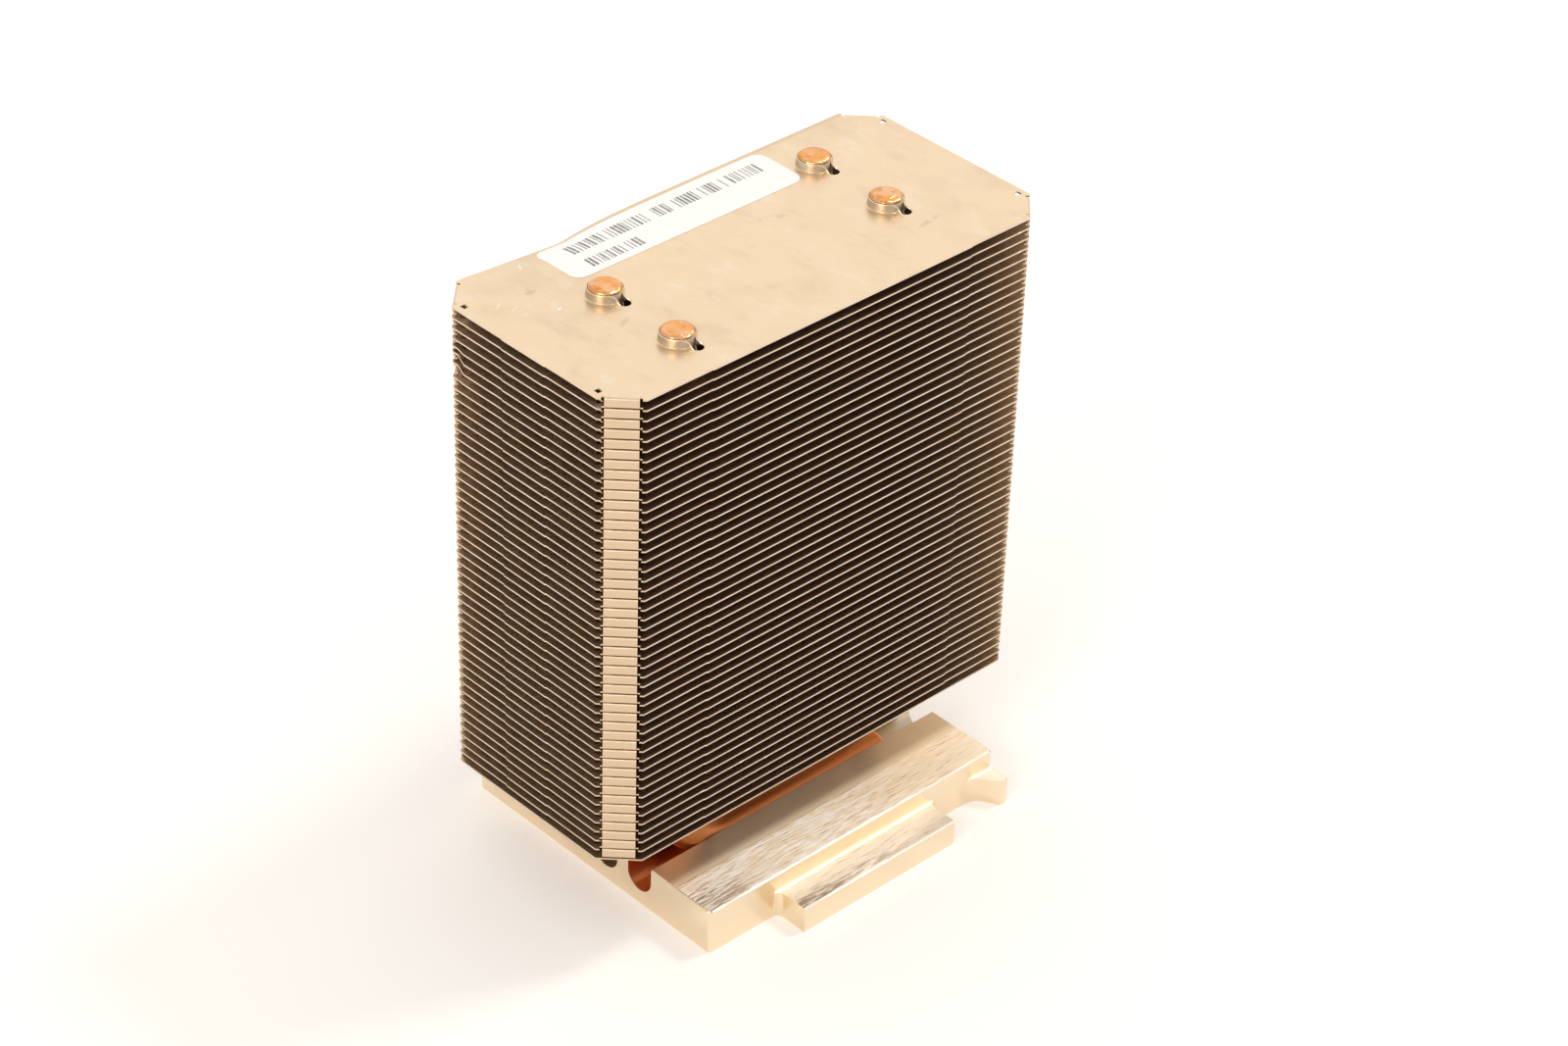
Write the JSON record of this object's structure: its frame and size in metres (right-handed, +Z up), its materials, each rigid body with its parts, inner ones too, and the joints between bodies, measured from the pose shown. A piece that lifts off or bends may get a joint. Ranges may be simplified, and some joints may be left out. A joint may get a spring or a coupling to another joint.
{
  "type": "processor heatsink",
  "caption": "Tall passive processor cooler for servers: folded sheet fins stacked on L-shaped heat pipes that lie in the grooves of a milled foot with clip lugs.",
  "frame": {"origin": "middle of the flat contact face under the foot", "axes": "+Z up from the contact face, along the pipe legs; +X along the long sides of the fins; +Y along their short sides, towards the side with the label"},
  "size_m": [0.1012, 0.0728, 0.1197],
  "materials": {
    "fin_sheet": "satin nickel-plated sheet",
    "foot_metal": "finely milled, nickel-plated",
    "pipe_copper": "bare bright copper",
    "label_paper": "smooth white"
  },
  "bodies": {
    "root": {"base_block": "foot_metal", "heat_pipe_1": "pipe_copper", "heat_pipe_2": "pipe_copper", "heat_pipe_3": "pipe_copper", "heat_pipe_4": "pipe_copper", "fin_01": "fin_sheet", "fin_02": "fin_sheet", "fin_03": "fin_sheet", "fin_04": "fin_sheet", "fin_05": "fin_sheet", "fin_06": "fin_sheet", "fin_07": "fin_sheet", "fin_08": "fin_sheet", "fin_09": "fin_sheet", "fin_10": "fin_sheet", "fin_11": "fin_sheet", "fin_12": "fin_sheet", "fin_13": "fin_sheet", "fin_14": "fin_sheet", "fin_15": "fin_sheet", "fin_16": "fin_sheet", "fin_17": "fin_sheet", "fin_18": "fin_sheet", "fin_19": "fin_sheet", "fin_20": "fin_sheet", "fin_21": "fin_sheet", "fin_22": "fin_sheet", "fin_23": "fin_sheet", "fin_24": "fin_sheet", "fin_25": "fin_sheet", "fin_26": "fin_sheet", "fin_27": "fin_sheet", "fin_28": "fin_sheet", "fin_29": "fin_sheet", "fin_30": "fin_sheet", "fin_31": "fin_sheet", "fin_32": "fin_sheet", "fin_33": "fin_sheet", "fin_34": "fin_sheet", "fin_35": "fin_sheet", "fin_36": "fin_sheet", "fin_37": "fin_sheet", "fin_38": "fin_sheet", "fin_39": "fin_sheet", "fin_40": "fin_sheet", "fin_41": "fin_sheet", "fin_42": "fin_sheet", "fin_43": "fin_sheet", "fin_44": "fin_sheet", "fin_45": "fin_sheet", "fin_46": "fin_sheet", "fin_47": "fin_sheet", "fin_48": "fin_sheet", "fin_49": "fin_sheet", "label": "label_paper"}
  },
  "joints": []
}
